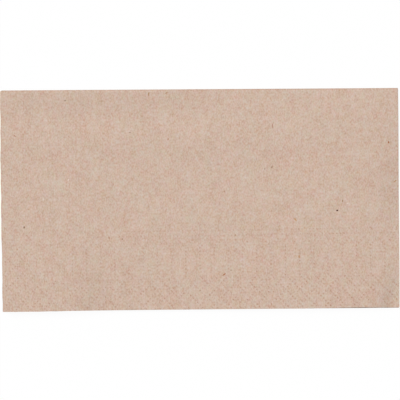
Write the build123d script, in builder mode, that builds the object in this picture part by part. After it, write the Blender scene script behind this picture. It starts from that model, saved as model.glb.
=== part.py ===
from build123d import *
import os
from math import cos, pi, radians, sin

# A two-ply paper dinner napkin, folded to an eighth of its open size and lying flat.
# X runs along the long side, from the cut ends to the first fold.
# Y runs from the cut edges in front to the last fold at the back, and Z up from the underside.

# Driving dimensions, in millimetres, and one angle in degrees
sheet_width = 380.0  # open sheet, across the first fold
sheet_length = 420.0  # open sheet, across the two later folds
paper = 0.20  # thickness of the embossed two-ply paper
air = 0.10  # space between one layer of paper and the next
end_lap = 0.6  # the under half of the doubled sheet passes the upper half by this at the cut ends
fold_lap = 0.5  # the second fold passes the cut edges above it by this
spring_back = 1.0  # the last fold stays this far from shut

# First fold: the sheet is doubled into a leaf of two layers
layer_pitch = paper + air
leaf_height = 2 * paper + air
first_turn = layer_pitch / 2
mean_leg = (sheet_width - pi * first_turn) / 2
upper_leg = mean_leg - end_lap / 2
under_leg = mean_leg + end_lap / 2
folded_width = under_leg + leaf_height / 2
first_fold_x = folded_width / 2 - leaf_height / 2

# Second and last folds: the leaf turns on itself, and the last fold also goes round that turn
leaf_pitch = leaf_height + air
tight_turn = leaf_pitch / 2
wide_turn = tight_turn + leaf_pitch
last_fold_angle = 180 - spring_back
turned_length = pi * tight_turn + radians(last_fold_angle) * (tight_turn + wide_turn)
mean_run = (sheet_length - turned_length) / 4
second_fold_reach = tight_turn + leaf_height / 2
last_fold_reach = wide_turn + leaf_height / 2
upper_run = mean_run + (second_fold_reach - fold_lap) / 2
lower_run = mean_run - (second_fold_reach - fold_lap) / 2
folded_depth = second_fold_reach + lower_run + last_fold_reach

# The top leaf starts at its cut edge and falls by the spring-back to the last fold
last_fold_y = folded_depth / 2 - last_fold_reach
last_fold_z = last_fold_reach
rise = radians(spring_back)
cut_edge_y = last_fold_y + wide_turn * sin(rise) - upper_run * cos(rise)
cut_edge_z = last_fold_z + wide_turn * cos(rise) + upper_run * sin(rise)

# The line that the doubled sheet follows, seen from the side: four leaves and three turns
with BuildLine(Plane.YZ) as fold_line:
    top_leaf = PolarLine((cut_edge_y, cut_edge_z), upper_run, -spring_back)
    outer_turn = JernArc(top_leaf @ 1, top_leaf % 1, wide_turn, -last_fold_angle)
    bottom_leaf = PolarLine(outer_turn @ 1, lower_run, 180)
    second_turn = JernArc(bottom_leaf @ 1, bottom_leaf % 1, tight_turn, -180)
    third_leaf = PolarLine(second_turn @ 1, lower_run, 0)
    inner_turn = JernArc(third_leaf @ 1, third_leaf % 1, tight_turn, last_fold_angle)
    second_leaf = PolarLine(inner_turn @ 1, upper_run, last_fold_angle)

# The doubled sheet in section, a hairpin open at the cut ends, drawn square to the top leaf
section_plane = Plane(fold_line.line @ 0, x_dir=(1, 0, 0), z_dir=-(fold_line.line % 0))

# The napkin: one sheet, its hairpin carried along the fold line
with BuildPart() as napkin:
    with BuildSketch(section_plane) as hairpin:
        with BuildLine():
            upper_half = Line(
                (first_fold_x - upper_leg, first_turn), (first_fold_x, first_turn)
            )
            first_fold = JernArc(upper_half @ 1, upper_half % 1, first_turn, -180)
            under_half = Line(first_fold @ 1, (first_fold_x - under_leg, -first_turn))
        trace(line_width=paper)
    sweep(path=fold_line.line)

napkin.part.label = "napkin"

os.makedirs("parts", exist_ok=True)
export_step(napkin.part, "parts/napkin.step")
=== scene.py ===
from math import ceil, cos, pi, radians, sin, tan

import bmesh
import bpy
import numpy as np
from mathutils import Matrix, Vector
from mathutils.kdtree import KDTree


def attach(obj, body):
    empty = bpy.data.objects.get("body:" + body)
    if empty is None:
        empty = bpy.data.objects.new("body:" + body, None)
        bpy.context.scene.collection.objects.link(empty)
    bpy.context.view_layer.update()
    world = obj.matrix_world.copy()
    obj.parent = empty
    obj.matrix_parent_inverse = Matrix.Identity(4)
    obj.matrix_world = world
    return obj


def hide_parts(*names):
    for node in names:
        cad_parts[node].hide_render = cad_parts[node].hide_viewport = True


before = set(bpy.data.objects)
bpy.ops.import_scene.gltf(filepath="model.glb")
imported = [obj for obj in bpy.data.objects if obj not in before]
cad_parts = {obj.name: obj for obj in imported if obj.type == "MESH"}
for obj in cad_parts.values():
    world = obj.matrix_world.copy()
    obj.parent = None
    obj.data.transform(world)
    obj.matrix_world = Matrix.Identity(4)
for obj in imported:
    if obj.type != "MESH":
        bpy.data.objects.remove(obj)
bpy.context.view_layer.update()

# A paper napkin, made as the real one is: one sheet is embossed flat, folded three times and settled.
# Lengths are in metres, in the frame of the solid.
MM = 0.001

# The open sheet and its folds, as the solid has them
sheet_width = 380 * MM
sheet_length = 420 * MM
paper = 0.20 * MM
air = 0.10 * MM
end_lap = 0.6 * MM
fold_lap = 0.5 * MM
spring_back = radians(1.0)

# First fold: the sheet is doubled into a leaf of two layers
first_turn = (paper + air) / 2
leaf_height = 2 * paper + air
mean_leg = (sheet_width - pi * first_turn) / 2
upper_leg = mean_leg - end_lap / 2
under_leg = mean_leg + end_lap / 2
folded_width = under_leg + leaf_height / 2
cut_end_x = folded_width / 2 - leaf_height / 2 - upper_leg

# Second and last folds: the leaf turns on itself, and the last fold also goes round that turn
leaf_pitch = leaf_height + air
tight_turn = leaf_pitch / 2
wide_turn = tight_turn + leaf_pitch
last_fold_angle = pi - spring_back
turned_length = pi * tight_turn + last_fold_angle * (tight_turn + wide_turn)
mean_run = (sheet_length - turned_length) / 4
second_fold_reach = tight_turn + leaf_height / 2
last_fold_reach = wide_turn + leaf_height / 2
upper_run = mean_run + (second_fold_reach - fold_lap) / 2
lower_run = mean_run - (second_fold_reach - fold_lap) / 2
folded_depth = second_fold_reach + lower_run + last_fold_reach
stack_height = 2 * last_fold_reach
last_fold_y = folded_depth / 2 - last_fold_reach
cut_edge_y = last_fold_y + wide_turn * sin(spring_back) - upper_run * cos(spring_back)
cut_edge_z = last_fold_reach + wide_turn * cos(spring_back) + upper_run * sin(spring_back)

# Each walk is a list of stretches, (length, turn), with counter-clockwise turns positive
hairpin = [(upper_leg, 0), (pi * first_turn, -pi), (under_leg, 0)]
fold_line = [
    (upper_run, 0),
    (last_fold_angle * wide_turn, -last_fold_angle),
    (lower_run, 0),
    (pi * tight_turn, -pi),
    (lower_run, 0),
    (last_fold_angle * tight_turn, last_fold_angle),
    (upper_run, 0),
]
top_leaf_end = upper_run
last_fold_middle = upper_run + last_fold_angle * wide_turn / 2
bottom_leaf_start = upper_run + last_fold_angle * wide_turn
bottom_leaf_end = bottom_leaf_start + lower_run

# The embossed border: one motif, repeated along the front cut edge and along the cut ends;
# a row start is in repeats
front_repeat = 6.80 * MM
front_repeat_depth = 6.86 * MM
first_front_picket = -0.84 * MM
front_margin = -0.71 * MM
front_row_start = 0.20
end_repeat = 6.73 * MM
end_repeat_depth = 6.89 * MM
first_end_picket = -2.36 * MM
end_margin = 0.38 * MM
end_row_start = 0.0
roll_skew = tan(radians(0.48))
border_depth = 39 * MM

# The motif, in repeats: a trellis by the edge, then pickets under chevrons, and two plain rows of dots
trellis_pitch = 1 / 6
trellis_depth = 2.265
picket_depth = 4.23
picket_dots = 8
chevron_depth = 4.75
chevron_dots = 3
row_depths = (5.08, 5.43)
row_pitch = 0.2547

# One dot of the embossing, a slanting oval with a painted highlight on its flanks, and how hard it is
# pressed:
# from the cut ends to the first fold, from the front edge back over front_reach, and from the cut ends
# in over end_reach
dot_half_length = 0.70 * MM
dot_half_width = 0.34 * MM
flank_half_width = 1.1 * MM
dot_slant = radians(45)
dot_rise = 0.12 * MM
press_across = (0.71, 1.0)
press_front = (1.4, 0.62)
front_reach = 55 * MM
press_end = (1.28, 0.95)
end_reach = 22 * MM

# Mesh spacing: cells are cut finer on the border, and once more where a dot lies within near_dot
cell = 3.7 * MM
fold_side = 0.3 * MM
turn_steps = 8
border_cuts = 2
dot_cuts = 2
near_share = 0.85
near_dot = dot_half_width + cell / (border_cuts + 1) * near_share
sharp_angle = radians(50)
rounding = 1e-9

# How the soft paper has settled out of true: cut edges that waver, a front edge that hangs forward but
# for one gap, a pulled corner, and an outline that narrows a little to the right and in front
waver_lengths = (31 * MM, 12.5 * MM, 5.3 * MM)
waver_reach = 9 * MM
end_waver = 0.22 * MM
edge_waver = 0.10 * MM
end_wave_starts = (0.7, 2.9)
edge_wave_starts = (1.3, 4.1)
edge_forward = 0.35 * MM
gap_middle = 77 * MM
gap_half = 11.5 * MM
gap_depth = 1.2
corner_pull = (0.55 * MM, -0.38 * MM)
corner_reach = 25 * MM
taper = 0.0022
front_narrowing = 0.0006

# Where the stack swells, and where its opening has sunk shut, in millimetres and degrees:
# (x, y, turn, (left, right) reach, (front, back) reach, share of the height or of the opening)
swells = [
    (-45, 53, 0, (40, 38), (6, 8), 0.65),
    (-42, 40, 0, (50, 45), (5, 6), -0.14),
    (0, 30, 0, (80, 50), (6, 5.5), 0.30),
    (62, 39, 0, (45, 45), (16, 8), 0.42),
    (86, 10, 0, (30, 5), (14, 12), 0.32),
    (-66, -52, 0, (35, 10), (30, 16), 0.10),
    (-97, -40, 0, (9, 28), (40, 25), 0.12),
]
dips = [
    (97, 8, 0, (6, 7), (18, 15), 0.92),
    (92.5, -51, -14, (4, 30), (30, 11), 0.88),
    (-42, -52, 0, (9, 45), (30, 15), 0.90),
]

# The paper's clumps, clouds and creases, longer along the sheet: (size in millimetres, share)
grain_stretch = 0.6
clump_tones = [(0.54, 0.63), (0.95, 0.245), (1.9, 0.19), (3.8, 0.185), (8.0, 0.095), (17, 0.03)]
rosy_clouds = [(0.7, 0.054), (1.2, 0.044), (2.7, 0.038), (9.5, 0.026)]
rosy_swing = (0.92, -0.30, -0.14)
olive_clouds = [(0.8, 0.056), (1.4, 0.046), (3.1, 0.042), (8.3, 0.018)]
olive_swing = (0.09, 0.40, -0.34)
crease_sizes = [(0.5, 0.6), (1.1, 0.5), (6.0, 1.2)]
crease_height = 0.03 * MM
crease_strength = 0.5
roughness = (0.9, 1.0)
specular = 0.15

# Its browns, from dark to light, and how far the pressed dots and the painted shade on the line of the last
# fold go to the brown of pressed paper, and the painted highlight on the flanks of the dots to the lightest
browns = ("#b88b73", "#cfb6a4", "#dacdc5")
pressed_and_shade_brown = "#a87154"
press_shade = 0.73
press_patches = [(1.7, 1.25)]
flank_highlight_strength = 0.16
painted_fold_shade_strength = 0.18
fold_line_half = 0.85 * MM
fold_line_reach = 1.3 * MM

# Specks and fibres on the face that shows: (across, along, length, width in millimetres, turn, colour);
# each fades in between these shares of its half size
fleck_fade = (1.15, 0.6)
flecks = [
    (160.15, 46.45, 1.1, 0.8, 8, "#4e2018"),
    (10.3, 39.6, 1.15, 0.7, 88, "#754a37"),
    (105.9, 16.3, 2.0, 0.6, 35, "#ac7350"),
    (184.9, 78.9, 1.15, 0.75, 80, "#a5653a"),
    (129.5, 87.1, 2.6, 0.5, 92, "#b08471"),
    (140.1, 42.2, 2.0, 0.75, -40, "#c3976a"),
    (141.8, 24.5, 1.7, 0.85, 90, "#bd8f66"),
    (70.5, 102.8, 2.0, 0.6, 85, "#ad865f"),
    (78.9, 103.2, 1.3, 0.6, 30, "#b58a6b"),
    (129.1, 67.4, 1.2, 0.65, 75, "#9d7d6b"),
    (162.7, 51.0, 1.3, 0.6, 90, "#a78564"),
    (188.0, 60.3, 1.7, 0.6, 35, "#be906c"),
    (30.5, 99.9, 1.2, 0.75, 20, "#a8927f"),
    (51.0, 34.1, 1.2, 0.55, 90, "#ab7c64"),
    (57.3, 33.5, 1.0, 0.65, 60, "#a4826a"),
    (109.3, 18.3, 1.3, 0.45, 5, "#ab907d"),
    (125.7, 66.6, 1.3, 0.5, 88, "#ab8f7c"),
    (131.5, 65.9, 1.6, 0.5, 90, "#c09a8a"),
    (106.3, 56.0, 1.0, 0.65, 60, "#b48f78"),
    (111.3, 35.0, 1.0, 0.65, 70, "#b08a71"),
    (6.3, 83.2, 1.6, 0.6, -40, "#b48b75"),
    (79.6, 81.1, 1.2, 0.65, 75, "#b88b70"),
    (61.3, 84.4, 1.1, 0.6, 0, "#ad9180"),
    (31.7, 62.0, 1.1, 0.6, 40, "#e4d3ca"),
    (165.1, 49.8, 1.2, 0.5, 0, "#e4d3ca"),
    (19.6, 52.8, 1.5, 0.65, 85, "#ddccc0"),
]

# The light, as shares that add up to about 1, at which a colour renders as it is written: the room, and
# lamps (name, place, size, share)
room_share = 0.36
lamps = [("key", (-10.0, 5.8, 13.5), 10.0, 0.60), ("fill", (6.0, -6.0, 15.0), 12.0, 0.08)]

# The floor: a paper's thickness lower, so that no dot of the underside cuts into it, and white to the eye
floor_drop = -paper
floor_half = 3.0
floor_white = "#fdfdfd"
floor_glow = 0.95

# The photograph's framing, in its own pixels
image_pixels = 400
napkin_pixels = 397.7
napkin_turn = radians(0.44)
view_centre = (0.05 * MM, -0.3 * MM)
lens = 200.0
sensor = 36.0
view_depth = 20.0


def add(tree, kind, inputs=None, **settings):
    """Adds a node, sets its properties, and sets or links its inputs; a list links several to one input."""
    node = tree.nodes.new(kind)
    for name, value in settings.items():
        setattr(node, name, value)
    for socket, value in (inputs or {}).items():
        for source in value if isinstance(value, list) else [value]:
            if isinstance(source, bpy.types.NodeSocket):
                tree.links.new(source, node.inputs[socket])
            else:
                node.inputs[socket].default_value = source
    return node


def linear(hex_colour):
    """An sRGB hex colour as linear RGBA."""
    parts = [int(hex_colour[i : i + 2], 16) / 255 for i in (1, 3, 5)]
    return tuple(c / 12.92 if c <= 0.04045 else ((c + 0.055) / 1.055) ** 2.4 for c in parts) + (1.0,)


def new_tree(name, inputs):
    """A Geometry Nodes tree with named inputs; gives the tree and its inputs' sockets."""
    tree = bpy.data.node_groups.new(name, "GeometryNodeTree")
    tree.interface.new_socket("Geometry", in_out="INPUT", socket_type="NodeSocketGeometry")
    for label, kind in inputs.items():
        tree.interface.new_socket(label, in_out="INPUT", socket_type="NodeSocket" + kind)
    tree.interface.new_socket("Geometry", in_out="OUTPUT", socket_type="NodeSocketGeometry")
    return tree, add(tree, "NodeGroupInput").outputs


def close_tree(tree, geometry, material):
    """Ends a tree: its instances become plain geometry, in one material."""
    whole = add(tree, "GeometryNodeRealizeInstances", {"Geometry": geometry})
    dressed = add(tree, "GeometryNodeSetMaterial", {"Geometry": whole.outputs[0], "Material": material})
    add(tree, "NodeGroupOutput", {"Geometry": dressed.outputs[0]})


def run_tree(piece, tree, values):
    """The plain mesh that a tree makes on a piece with these input values."""
    modifier = piece.modifiers.new(tree.name, "NODES")
    modifier.node_group = tree
    for item in tree.interface.items_tree:
        if item.in_out == "INPUT" and item.name in values:
            modifier[item.identifier] = values[item.name]
    bpy.context.scene.collection.objects.link(piece)
    graph = bpy.context.evaluated_depsgraph_get()
    mesh = bpy.data.meshes.new_from_object(
        piece.evaluated_get(graph), preserve_all_data_layers=True, depsgraph=graph
    )
    piece.modifiers.remove(modifier)
    return mesh


def motif_rows():
    """The rows of dots in one repeat, (start, step, count), as pairs (along the edge, depth) in repeats."""
    picket_step = (picket_depth - trellis_depth) / picket_dots
    chevron_step = (chevron_depth - picket_depth) / chevron_dots
    rows = [((0, trellis_depth + picket_step), (0, picket_step), picket_dots)]
    for side in (trellis_pitch, -trellis_pitch):
        rows.append(((0, trellis_depth), (side, -trellis_pitch), int(trellis_depth / trellis_pitch) + 1))
        rows.append(((side, picket_depth + chevron_step), (side, chevron_step), chevron_dots))
    return rows


def dotted_border_tree(material):
    """Lays the motif along one edge: every dot of the band, as points (along the edge, depth from it)."""
    tree, given = new_tree(
        "dotted_border",
        {
            "Repeats": "Int",
            "Repeat": "Float",
            "Repeat depth": "Float",
            "First picket": "Float",
            "Margin": "Float",
            "Skew": "Float",
            "Row dots": "Int",
            "Row start": "Float",
        },
    )
    lines = []
    for start, step, count in motif_rows():
        line = add(
            tree,
            "GeometryNodeMeshLine",
            {"Count": count, "Start Location": (*start, 0), "Offset": (*step, 0)},
        )
        lines.append(line.outputs[0])
    motif = add(tree, "GeometryNodeJoinGeometry", {0: lines}).outputs[0]
    steps = add(tree, "GeometryNodeMeshLine", {"Count": given["Repeats"], "Offset": (1, 0, 0)}).outputs[0]
    copies = add(tree, "GeometryNodeInstanceOnPoints", {"Points": steps, "Instance": motif}).outputs[0]
    bands = [add(tree, "GeometryNodeRealizeInstances", {0: copies}).outputs[0]]
    for row, depth in enumerate(row_depths):
        offset = add(tree, "ShaderNodeMath", {0: given["Row start"], 1: row * row_pitch / 2}, operation="ADD")
        start = add(tree, "ShaderNodeCombineXYZ", {0: offset.outputs[0], 1: depth}).outputs[0]
        line = add(
            tree,
            "GeometryNodeMeshLine",
            {"Count": given["Row dots"], "Start Location": start, "Offset": (row_pitch, 0, 0)},
        )
        bands.append(line.outputs[0])
    dots = add(tree, "GeometryNodeJoinGeometry", {0: bands}).outputs[0]
    place = add(tree, "GeometryNodeInputPosition").outputs[0]
    split = add(tree, "ShaderNodeSeparateXYZ", {0: place}).outputs
    along = add(
        tree,
        "ShaderNodeMath",
        {0: split[0], 1: given["Repeat"], 2: given["First picket"]},
        operation="MULTIPLY_ADD",
    ).outputs[0]
    straight = add(
        tree,
        "ShaderNodeMath",
        {0: split[1], 1: given["Repeat depth"], 2: given["Margin"]},
        operation="MULTIPLY_ADD",
    ).outputs[0]
    depth = add(
        tree, "ShaderNodeMath", {0: along, 1: given["Skew"], 2: straight}, operation="MULTIPLY_ADD"
    ).outputs[0]
    there = add(tree, "ShaderNodeCombineXYZ", {0: along, 1: depth}).outputs[0]
    laid = add(tree, "GeometryNodeSetPosition", {"Geometry": dots, "Position": there}).outputs[0]
    close_tree(tree, laid, material)
    return tree


def border_band(tree, length, repeat, repeat_depth, first_picket, margin, skew, row_start):
    """The dots of one band, as an array of (along the edge, depth from it)."""
    band = bpy.data.objects.new("band", bpy.data.meshes.new("band"))
    repeats = ceil((length - first_picket) / repeat)
    values = {
        "Repeats": repeats,
        "Repeat": repeat,
        "Repeat depth": repeat_depth,
        "First picket": first_picket,
        "Margin": margin,
        "Skew": skew,
        "Row dots": ceil(repeats / row_pitch),
        "Row start": row_start,
    }
    mesh = run_tree(band, tree, values)
    bpy.data.objects.remove(band)
    return np.array([dot.co[:2] for dot in mesh.vertices])


def border_dots(material):
    """The dots on the layers that show, as points on the open sheet; the two bands meet in a mitre."""
    tree = dotted_border_tree(material)
    front = border_band(
        tree,
        upper_leg,
        front_repeat,
        front_repeat_depth,
        first_front_picket,
        front_margin,
        roll_skew,
        front_row_start,
    )
    front = front[(front[:, 1] <= front[:, 0]) & (front[:, 0] < upper_leg)]
    ends = border_band(
        tree, bottom_leaf_end, end_repeat, end_repeat_depth, first_end_picket, end_margin, 0.0, end_row_start
    )
    along = ends[:, 0]
    on_leaf = (along < top_leaf_end - dot_half_length) | (along > bottom_leaf_start + dot_half_length)
    ends = ends[on_leaf & (ends[:, 1] < along) & (along < bottom_leaf_end)]
    mesh = bpy.data.meshes.new("border_dots")
    places = np.concatenate([front, ends[:, ::-1]])
    mesh.from_pydata([(across, along, paper / 2) for across, along in places], [], [])
    return bpy.data.objects.new("border_dots", mesh)


def embossing_tree(material):
    """Raises the dots on the outer face of the open sheet, and keeps where it is pressed and where its flanks
    get a painted highlight.
    """
    tree, given = new_tree(
        "embossing",
        {
            "Dots": "Object",
            "Dot half": "Vector",
            "Flank half": "Vector",
            "Dot slant": "Float",
            "Dot rise": "Float",
            "Leaf width": "Float",
            "Front reach": "Float",
            "End reach": "Float",
        },
    )
    place = add(tree, "GeometryNodeInputPosition").outputs[0]
    across, along, face = add(tree, "ShaderNodeSeparateXYZ", {0: place}).outputs
    dots = add(tree, "GeometryNodeObjectInfo", {"Object": given["Dots"]}).outputs["Geometry"]
    nearest = add(tree, "GeometryNodeProximity", {0: dots}, target_element="POINTS").outputs["Position"]
    aside = add(tree, "ShaderNodeVectorMath", {0: place, 1: nearest}, operation="SUBTRACT").outputs[0]
    turned = add(
        tree, "ShaderNodeVectorRotate", {"Vector": aside, "Angle": given["Dot slant"]}, rotation_type="Z_AXIS"
    ).outputs[0]
    outside = add(tree, "FunctionNodeCompare", {0: face, 1: 0.0}, operation="GREATER_THAN").outputs[0]

    def oval(half):
        """1 at a dot's middle, falling to 0 on an oval about it, and 0 on the inner face."""
        scaled = add(tree, "ShaderNodeVectorMath", {0: turned, 1: given[half]}, operation="DIVIDE").outputs[0]
        away = add(tree, "ShaderNodeVectorMath", {0: scaled}, operation="LENGTH").outputs["Value"]
        return add(
            tree,
            "ShaderNodeMapRange",
            {"Value": away, "From Min": 1.0, "From Max": 0.0, "To Max": outside},
            interpolation_type="SMOOTHSTEP",
        ).outputs[0]

    pressed = oval("Dot half")
    # The flanks beside each dot: a painted highlight, lighter paper where light would catch the relief
    loose = add(tree, "ShaderNodeMath", {0: oval("Flank half"), 1: pressed}, operation="SUBTRACT").outputs[0]
    for distance, reach, (near, far) in (
        (across, "Leaf width", press_across),
        (along, "Front reach", press_front),
        (across, "End reach", press_end),
    ):
        strength = add(
            tree,
            "ShaderNodeMapRange",
            {"Value": distance, "From Max": given[reach], "To Min": near, "To Max": far},
            interpolation_type="SMOOTHSTEP",
        ).outputs[0]
        pressed = add(tree, "ShaderNodeMath", {0: pressed, 1: strength}, operation="MULTIPLY").outputs[0]
        loose = add(tree, "ShaderNodeMath", {0: loose, 1: strength}, operation="MULTIPLY").outputs[0]
    kept_place = add(
        tree,
        "GeometryNodeStoreNamedAttribute",
        {"Geometry": given["Geometry"], "Name": "flat_place", "Value": place},
        data_type="FLOAT_VECTOR",
    ).outputs[0]
    kept_press = add(
        tree, "GeometryNodeStoreNamedAttribute", {"Geometry": kept_place, "Name": "pressed", "Value": pressed}
    ).outputs[0]
    kept_loose = add(
        tree, "GeometryNodeStoreNamedAttribute", {"Geometry": kept_press, "Name": "loose", "Value": loose}
    ).outputs[0]
    height = add(tree, "ShaderNodeMath", {0: pressed, 1: given["Dot rise"]}, operation="MULTIPLY").outputs[0]
    upward = add(tree, "ShaderNodeCombineXYZ", {2: height}).outputs[0]
    embossed = add(tree, "GeometryNodeSetPosition", {"Geometry": kept_loose, "Offset": upward}).outputs[0]
    close_tree(tree, embossed, material)
    return tree


def spaced(stretches):
    """Grid lines along a walk: turn_steps on a turn, one close beside it, about one cell apart elsewhere."""
    lines = [0.0]
    for number, (length, turn) in enumerate(stretches):
        count = turn_steps if turn else ceil(length / cell)
        steps = [length * (i + 1) / count for i in range(count)]
        if not turn and number > 0:
            steps.insert(0, fold_side)
        if not turn and number < len(stretches) - 1:
            steps.insert(-1, length - fold_side)
        lines += [lines[-1] + step for step in steps]
    return lines


def flat_sheet(dots):
    """The open sheet, lying flat and closed at its rim, with finer cells in the border and by its dots."""
    across = spaced(hairpin)
    along = spaced(fold_line)
    sheet = bmesh.new()
    outside, inside = (
        [[sheet.verts.new((u, v, height)) for v in along] for u in across]
        for height in (paper / 2, -paper / 2)
    )
    for i in range(len(across) - 1):
        for j in range(len(along) - 1):
            corners = [(i, j), (i + 1, j), (i + 1, j + 1), (i, j + 1)]
            sheet.faces.new([outside[a][b] for a, b in corners])
            sheet.faces.new([inside[a][b] for a, b in reversed(corners)])
    rim = [(i, 0) for i in range(len(across))]
    rim += [(len(across) - 1, j) for j in range(1, len(along))]
    rim += [(i, len(along) - 1) for i in reversed(range(len(across) - 1))]
    rim += [(0, j) for j in reversed(range(1, len(along) - 1))]
    for (a, b), (c, d) in zip(rim, rim[1:] + rim[:1]):
        sheet.faces.new([inside[a][b], inside[c][d], outside[c][d], outside[a][b]])

    nearest = KDTree(len(dots.data.vertices))
    for dot in dots.data.vertices:
        nearest.insert(dot.co, dot.index)
    nearest.balance()

    def looks_up(face):
        return face.normal.z > 0.5

    def on_border(place):
        if place.x > upper_leg or top_leaf_end < place.y < bottom_leaf_start or place.y > bottom_leaf_end:
            return False
        return place.x < border_depth or place.y < border_depth + place.x * roll_skew

    def by_a_dot(place):
        return on_border(place) and nearest.find(place)[2] < near_dot

    for wanted, cuts in ((on_border, border_cuts), (by_a_dot, dot_cuts)):
        sheet.normal_update()
        faces = [f for f in sheet.faces if looks_up(f) and wanted(f.calc_center_median())]
        edges = {e for f in faces for e in f.edges}
        bmesh.ops.subdivide_edges(sheet, edges=list(edges), cuts=cuts, use_grid_fill=True)
    mesh = bpy.data.meshes.new("open_sheet")
    sheet.to_mesh(mesh)
    sheet.free()
    return mesh


def walk(distances, start, heading, stretches):
    """Points and headings along straight and round stretches, at these distances from the start."""
    points = np.zeros((len(distances), 2))
    headings = np.zeros(len(distances))
    at = np.array(start)
    begun = 0.0
    for length, turn in stretches:
        here = distances >= begun - rounding
        run = distances[here] - begun
        headings[here] = heading + turn * run / length
        if turn:
            radius = length / turn
            ends = np.append(headings[here], heading + turn)
            steps = radius * np.stack([np.sin(ends) - sin(heading), cos(heading) - np.cos(ends)], 1)
        else:
            steps = np.outer(np.append(run, length), [cos(heading), sin(heading)])
        points[here] = at + steps[:-1]
        at = at + steps[-1]
        heading += turn
        begun += length
    return points, headings


def waver(along, start):
    """A slow uneven wave, -1 to 1, along an edge; another start gives another wave."""
    waves = [np.sin(2 * pi * along / length + start * (k + 1)) for k, length in enumerate(waver_lengths)]
    return sum(waves) / len(waves)


def hill(x, y, middle_x, middle_y, turn, sides, ends):
    """A round hill, 1 at its middle, turned, with its own reach on each of four sides, in millimetres."""
    off_x = x / MM - middle_x
    off_y = y / MM - middle_y
    lean = radians(turn)
    across = off_x * cos(lean) + off_y * sin(lean)
    along = off_y * cos(lean) - off_x * sin(lean)
    across = across / np.where(across < 0, *sides)
    along = along / np.where(along < 0, *ends)
    return np.exp(-(across**2 + along**2) / 2)


def settle(middle, across, along):
    """Layers as soft paper lies: edges waver, a corner is pulled, the stack swells and sinks in places."""
    x, y, z = middle.T

    def near(distance):
        return np.exp(-distance / waver_reach)

    for start, distance in zip(end_wave_starts, (across, sheet_width - across)):
        x = x + end_waver * near(distance) * waver(along, start)
    for start, distance in zip(edge_wave_starts, (along, sheet_length - along)):
        y = y + edge_waver * near(distance) * waver(across, start)
    y = y - edge_forward * near(along) * (1 - gap_depth * np.exp(-(((x - gap_middle) / gap_half) ** 2)))
    from_corner = np.hypot(x + folded_width / 2, y + folded_depth / 2)
    pull = np.exp(-((from_corner / corner_reach) ** 2) / 2)
    x = x + corner_pull[0] * pull
    y = y + corner_pull[1] * pull
    y = y * (1 - taper * x / (folded_width / 2))
    x = x * (1 + front_narrowing * y / (folded_depth / 2))
    spread = 1 + sum(share * hill(x, y, *place) for *place, share in swells)
    z = paper / 2 + (z - paper / 2) * spread
    above = (along < top_leaf_end) | (along > sheet_length - upper_run)
    opening = np.where(above, (last_fold_y - middle[:, 1]) * tan(spring_back), 0)
    z = z - opening * sum(share * hill(x, y, *place) for *place, share in dips)
    return np.stack([x, y, z], 1)


def folded(flat):
    """Places on the open sheet, carried round the three folds and settled."""
    across, along, off = flat.T
    section, lean = walk(across, (cut_end_x, first_turn), 0, hairpin)
    line, heading = walk(along, (cut_edge_y, cut_edge_z), -spring_back, fold_line)
    rise = section[:, 1]
    middle = np.stack(
        [section[:, 0], line[:, 0] - rise * np.sin(heading), line[:, 1] + rise * np.cos(heading)], 1
    )
    out = np.stack([-np.sin(lean), -np.cos(lean) * np.sin(heading), np.cos(lean) * np.cos(heading)], 1)
    return settle(middle, across, along) + off[:, None] * out


def make_napkin(material):
    """One sheet, embossed flat and then folded."""
    dots = border_dots(material)
    piece = bpy.data.objects.new("paper_napkin", flat_sheet(dots))
    values = {
        "Dots": dots,
        "Dot half": (dot_half_length, dot_half_width, 1.0),
        "Flank half": (dot_half_length, flank_half_width, 1.0),
        "Dot slant": dot_slant,
        "Dot rise": dot_rise,
        "Leaf width": upper_leg,
        "Front reach": front_reach,
        "End reach": end_reach,
    }
    piece.data = run_tree(piece, embossing_tree(material), values)
    bpy.data.objects.remove(dots)
    mesh = piece.data
    flat = np.zeros(len(mesh.vertices) * 3)
    mesh.vertices.foreach_get("co", flat)
    mesh.vertices.foreach_set("co", folded(flat.reshape(-1, 3)).ravel())
    mesh.shade_smooth()
    mesh.set_sharp_from_angle(angle=sharp_angle)
    mesh.update()
    return piece


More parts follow.
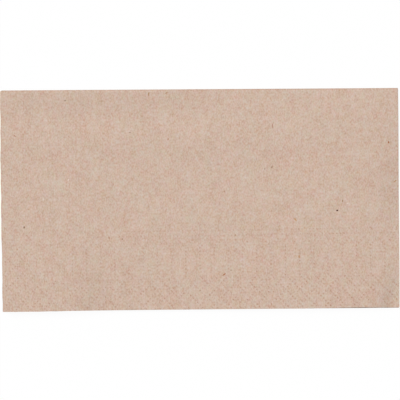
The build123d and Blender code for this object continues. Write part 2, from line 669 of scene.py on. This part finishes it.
def creped_tissue():
    """Recycled tissue, scraped off its drying cylinder in fine creases and embossed.

    Mixed waste fibre gives clouds of rosier and greyer brown, finest and strongest near the size of a fibre
    clump, with specks of bark, rust-coloured fibre and stray white ones. Pressed dots are denser and darker.
    A painted highlight lightens the paper beside them, and painted shade darkens the line of the last fold.
    The
    creases are too fine to cast a shadow: they leave the face dead matt, with a slight grain that stands
    upright.
    """
    material = bpy.data.materials.new("recycled_tissue_creped")
    material.use_nodes = True
    tree = material.node_tree
    shader = tree.nodes["Principled BSDF"]
    shader.inputs["Specular IOR Level"].default_value = specular
    place = add(tree, "ShaderNodeAttribute", attribute_name="flat_place").outputs["Vector"]
    pressed = add(tree, "ShaderNodeAttribute", attribute_name="pressed").outputs["Fac"]
    loose = add(tree, "ShaderNodeAttribute", attribute_name="loose").outputs["Fac"]
    grain = add(
        tree, "ShaderNodeVectorMath", {0: place, 1: (1, grain_stretch, 1)}, operation="MULTIPLY"
    ).outputs[0]

    def clouds(sizes, middle=0.5):
        """Noise of several clump sizes, each with its share, about a middle value."""
        total = middle - sum(share for size, share in sizes) / 2
        for size, share in sizes:
            noise = add(
                tree, "ShaderNodeTexNoise", {"Vector": grain, "Scale": 1 / (size * MM), "Detail": 0.0}
            ).outputs[0]
            total = add(
                tree, "ShaderNodeMath", {0: noise, 1: share, 2: total}, operation="MULTIPLY_ADD"
            ).outputs[0]
        return total

    tone = clouds(clump_tones)
    ramp = add(tree, "ShaderNodeValToRGB", {"Fac": tone})
    ramp.color_ramp.elements[0].color = linear(browns[0])
    ramp.color_ramp.elements[1].color = linear(browns[2])
    ramp.color_ramp.elements.new(0.5).color = linear(browns[1])
    colour = ramp.outputs["Color"]
    for swing, sizes in ((rosy_swing, rosy_clouds), (olive_swing, olive_clouds)):
        colour = add(
            tree,
            "ShaderNodeVectorMath",
            {0: clouds(sizes, 0.0), 1: swing, 2: colour},
            operation="MULTIPLY_ADD",
        ).outputs[0]

    for across, along, length, width, turn, fibre in flecks:
        about = add(
            tree,
            "ShaderNodeMapping",
            {
                "Vector": place,
                "Location": (across * MM, along * MM, 0),
                "Rotation": (0, 0, radians(turn)),
                "Scale": (length / 2 * MM, width / 2 * MM, 1),
            },
            vector_type="TEXTURE",
        ).outputs[0]
        away = add(tree, "ShaderNodeVectorMath", {0: about}, operation="LENGTH").outputs["Value"]
        cover = add(
            tree,
            "ShaderNodeMapRange",
            {"Value": away, "From Min": fleck_fade[0], "From Max": fleck_fade[1]},
        ).outputs[0]
        colour = add(
            tree, "ShaderNodeMix", {"Factor": cover, "A": colour, "B": linear(fibre)}, data_type="RGBA"
        ).outputs["Result"]

    # Some dots are pressed more than others: the patches average a half, and twice that is 1
    uneven = add(
        tree, "ShaderNodeMath", {0: clouds(press_patches), 1: 2 * press_shade}, operation="MULTIPLY"
    ).outputs[0]
    # Painted shade along the rounded line of the last fold, where its edge turns away from the lamp
    along = add(tree, "ShaderNodeSeparateXYZ", {0: place}).outputs[1]
    past_fold = add(tree, "ShaderNodeMath", {0: along, 1: last_fold_middle}, operation="SUBTRACT").outputs[0]
    from_fold = add(tree, "ShaderNodeMath", {0: past_fold}, operation="ABSOLUTE").outputs[0]
    painted_fold_shade = add(
        tree,
        "ShaderNodeMapRange",
        {"Value": from_fold, "From Min": fold_line_reach, "From Max": fold_line_half, "To Max": painted_fold_shade_strength},
    ).outputs[0]
    pressed_and_fold_shade = add(
        tree, "ShaderNodeMath", {0: pressed, 1: uneven, 2: painted_fold_shade}, operation="MULTIPLY_ADD"
    ).outputs[0]
    # Painted highlight on the dots' flanks, mixed towards the lightest brown
    flank_highlight_mix = add(tree, "ShaderNodeMath", {0: loose, 1: flank_highlight_strength}, operation="MULTIPLY").outputs[0]
    # Pressed dots and the painted fold shade go to the pressed brown; the painted flank highlight goes to the
    # lightest brown
    for share, brown in ((pressed_and_fold_shade, pressed_and_shade_brown), (flank_highlight_mix, browns[2])):
        colour = add(
            tree, "ShaderNodeMix", {"Factor": share, "A": colour, "B": linear(brown)}, data_type="RGBA"
        ).outputs["Result"]
    rough = add(
        tree, "ShaderNodeMapRange", {"Value": tone, "To Min": roughness[0], "To Max": roughness[1]}
    ).outputs[0]
    crease = add(
        tree,
        "ShaderNodeBump",
        {"Strength": crease_strength, "Distance": crease_height, "Height": clouds(crease_sizes)},
    ).outputs[0]
    tree.links.new(colour, shader.inputs["Base Color"])
    tree.links.new(rough, shader.inputs["Roughness"])
    tree.links.new(crease, shader.inputs["Normal"])
    return material


def make_floor():
    """A white floor that stays white to the eye, with part of the napkin's shadow on it."""
    mesh = bpy.data.meshes.new("floor")
    sides = ((-1, -1), (1, -1), (1, 1), (-1, 1))
    corners = [(x * floor_half, y * floor_half, floor_drop) for x, y in sides]
    mesh.from_pydata(corners, [], [(0, 1, 2, 3)])
    floor = bpy.data.objects.new("floor", mesh)
    bpy.context.scene.collection.objects.link(floor)
    white = bpy.data.materials.new("white_floor")
    white.use_nodes = True
    tree = white.node_tree
    tree.nodes.clear()
    ray = add(tree, "ShaderNodeLightPath").outputs
    seen = ray["Is Camera Ray"]
    for kind in ("Is Glossy Ray", "Is Transmission Ray"):
        seen = add(tree, "ShaderNodeMath", {0: seen, 1: ray[kind]}, operation="ADD").outputs[0]
    share = add(tree, "ShaderNodeMath", {0: seen, 1: floor_glow}, operation="MULTIPLY").outputs[0]
    matt = add(tree, "ShaderNodeBsdfDiffuse", {"Color": linear(floor_white)}).outputs[0]
    glow = add(tree, "ShaderNodeEmission", {"Color": linear("#ffffff"), "Strength": 1.0}).outputs[0]
    surface = add(tree, "ShaderNodeMixShader", {0: share, 1: matt, 2: glow}).outputs[0]
    add(tree, "ShaderNodeOutputMaterial", {"Surface": surface})
    mesh.materials.append(white)


def light_and_camera():
    """Soft light from the back left with a weak fill, and a long lens that looks straight down."""
    scene = bpy.context.scene
    scene.view_settings.view_transform = "Standard"
    world = bpy.data.worlds.new("studio")
    world.use_nodes = True
    world.node_tree.nodes["Background"].inputs["Color"].default_value = (1, 1, 1, 1)
    world.node_tree.nodes["Background"].inputs["Strength"].default_value = room_share
    scene.world = world
    for name, place, size, share in lamps:
        away = Vector(place)
        lamp = bpy.data.lights.new(name, "AREA")
        lamp.shape = "DISK"
        lamp.size = size
        # The power at which a level white sheet gets this share of its brightness from the lamp
        lamp.energy = share * pi**2 * away.length**3 / away.z
        holder = bpy.data.objects.new(name, lamp)
        holder.location = place
        holder.rotation_mode = "QUATERNION"
        holder.rotation_quaternion = (-away).to_track_quat("-Z", "Y")
        scene.collection.objects.link(holder)
    view = bpy.data.cameras.new("photo_view")
    view.lens = lens
    view.sensor_width = sensor
    view.clip_end = view_depth
    seen_width = folded_width * image_pixels / napkin_pixels
    camera = bpy.data.objects.new("photo_view", view)
    camera.location = (view_centre[0], view_centre[1], seen_width * lens / sensor + stack_height)
    camera.rotation_euler = (0, 0, -napkin_turn)
    scene.collection.objects.link(camera)
    scene.camera = camera


napkin = make_napkin(creped_tissue())
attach(napkin, "root")
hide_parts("napkin")
make_floor()
light_and_camera()
